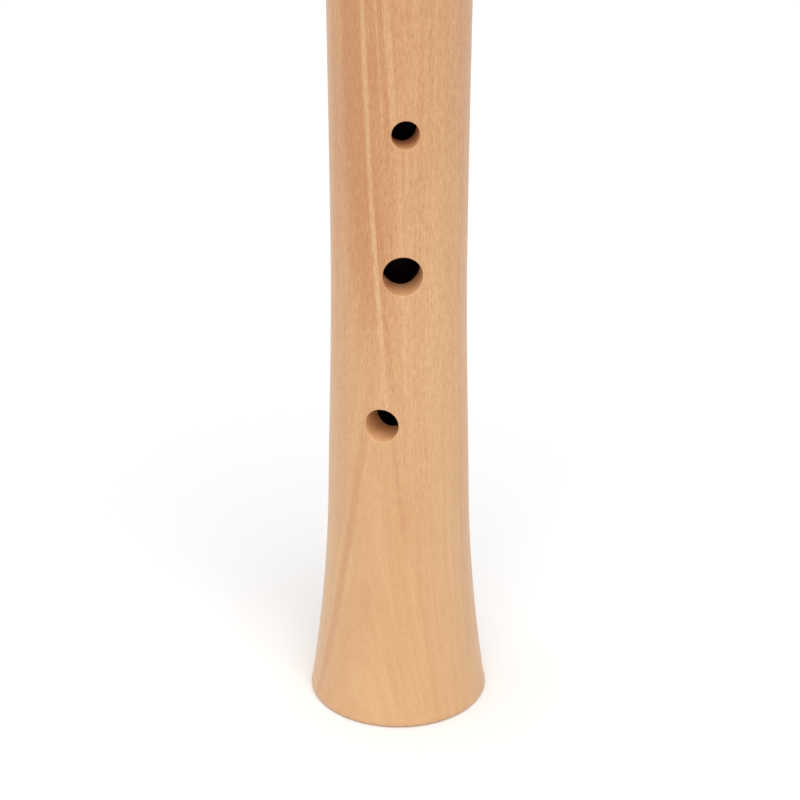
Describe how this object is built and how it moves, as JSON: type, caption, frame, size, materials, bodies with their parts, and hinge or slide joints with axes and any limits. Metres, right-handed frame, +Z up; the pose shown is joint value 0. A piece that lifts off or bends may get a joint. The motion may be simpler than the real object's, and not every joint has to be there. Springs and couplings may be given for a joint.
{
  "type": "wooden soprano recorder",
  "caption": "Plain pear-wood soprano recorder standing on its flared foot: drilled body, head joint with beak, window and lip, cedar block, cork-lapped tenon.",
  "frame": {"origin": "centre of the foot's face, where the bore's axis meets the surface that the recorder stands on", "axes": "+Z up along the bore towards the beak, -Y towards the front with the finger holes, +X towards the player's left hand side"},
  "size_m": [0.03, 0.03, 0.331],
  "materials": {
    "pear_wood": "satin, waxed",
    "cedar_wood": "planed, unfinished",
    "cork": "ground, greased"
  },
  "bodies": {
    "body": {"body_and_foot": "pear_wood"},
    "lapping": {"tenon_cork": "cork"},
    "head": {"head_joint": "pear_wood"},
    "block": {"block": "cedar_wood"}
  },
  "joints": [
    {"name": "head_turn", "type": "hinge", "parent": "body", "child": "lapping", "pos_m": [0, 0, 0.2124], "axis": [0, 0, 1], "continuous": true},
    {"name": "head_pull", "type": "slide", "parent": "lapping", "child": "head", "axis": [0, 0, 1], "range_m": [0, 0.019]},
    {"name": "block_push", "type": "slide", "parent": "head", "child": "block", "axis": [0, 0, 1], "range_m": [0, 0.044]}
  ]
}
